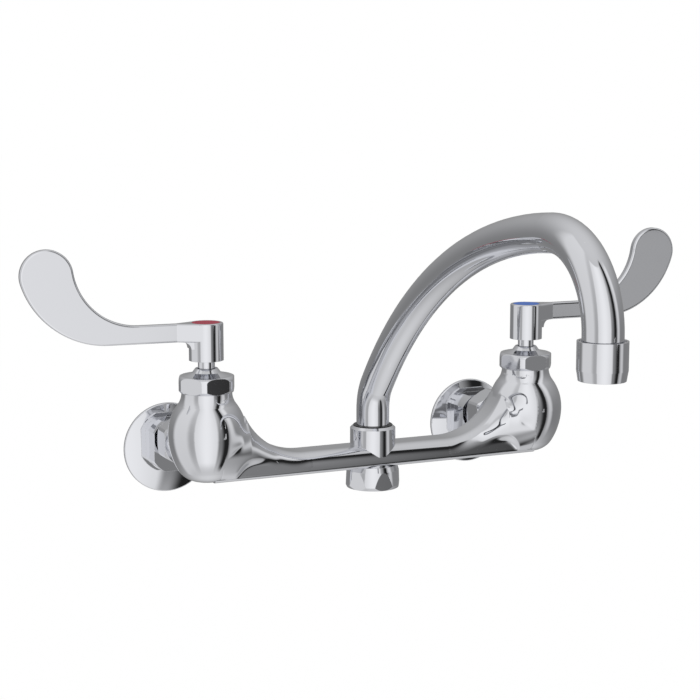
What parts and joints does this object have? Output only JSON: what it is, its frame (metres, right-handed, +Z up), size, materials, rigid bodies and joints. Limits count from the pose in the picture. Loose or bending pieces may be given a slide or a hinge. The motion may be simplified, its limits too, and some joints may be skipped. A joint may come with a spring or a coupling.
{
  "type": "wall-mount faucet",
  "caption": "Wall-mounted sink faucet with a swivelling gooseneck spout, a bridge bar between round valve bodies and flat wrist-blade lever handles.",
  "frame": {"origin": "on the wall plane, midway between the centres of the two supply inlets", "axes": "+Y into the wall, so the spout reaches along -Y; +Z up; +X to the cold side, on the right of someone who faces the wall"},
  "size_m": [0.406, 0.326, 0.181],
  "materials": {
    "chrome_plate": "polished chrome plate on brass",
    "brass": "machined brass",
    "stainless_steel": "plain stainless steel",
    "ceramic": "polished alumina ceramic",
    "black_rubber": "matt black rubber",
    "black_plastic": "black bearing plastic",
    "white_plastic": "white moulded plastic",
    "index_red": "dark red enamel",
    "index_blue": "blue enamel"
  },
  "bodies": {
    "valve_set": {"faucet_body": "chrome_plate", "bottom_cap": "chrome_plate", "bottom_cap_seal": "black_rubber", "spout_bearing": "black_plastic", "hot_supply_flange": "chrome_plate", "hot_union_washer": "black_rubber", "hot_inlet_tail": "chrome_plate", "hot_union_nut": "chrome_plate", "hot_seat_seal": "black_rubber", "hot_fixed_disc": "ceramic", "hot_cartridge_sleeve": "brass", "hot_bonnet_nut": "chrome_plate", "cold_supply_flange": "chrome_plate", "cold_union_washer": "black_rubber", "cold_inlet_tail": "chrome_plate", "cold_union_nut": "chrome_plate", "cold_seat_seal": "black_rubber", "cold_fixed_disc": "ceramic", "cold_cartridge_sleeve": "brass", "cold_bonnet_nut": "chrome_plate"},
    "hot_handle_set": {"hot_handle": "chrome_plate", "hot_handle_screw": "stainless_steel", "hot_index_button": "index_red", "hot_stem": "chrome_plate", "hot_stem_oring": "black_rubber", "hot_turning_disc": "ceramic"},
    "cold_handle_set": {"cold_handle": "chrome_plate", "cold_handle_screw": "stainless_steel", "cold_index_button": "index_blue", "cold_stem": "chrome_plate", "cold_stem_oring": "black_rubber", "cold_turning_disc": "ceramic"},
    "spout": {"spout_tube": "chrome_plate", "swivel_stem": "brass", "swivel_clip": "stainless_steel", "swivel_oring_lower": "black_rubber", "swivel_oring_upper": "black_rubber", "tip_collar": "chrome_plate", "aerator_shell": "chrome_plate", "aerator_screen": "stainless_steel", "aerator_insert": "white_plastic", "aerator_washer": "black_rubber"}
  },
  "joints": [
    {"name": "spout_swing", "type": "hinge", "parent": "valve_set", "child": "spout", "pos_m": [0, -0.073, 0], "axis": [0, 0, 1], "range_deg": [-90, 90]},
    {"name": "hot_handle_turn", "type": "hinge", "parent": "valve_set", "child": "hot_handle_set", "pos_m": [-0.1016, -0.073, 0], "axis": [0, 0, 1], "range_deg": [0, 90]},
    {"name": "cold_handle_turn", "type": "hinge", "parent": "valve_set", "child": "cold_handle_set", "pos_m": [0.1016, -0.073, 0], "axis": [0, 0, 1], "range_deg": [-90, 0]}
  ]
}
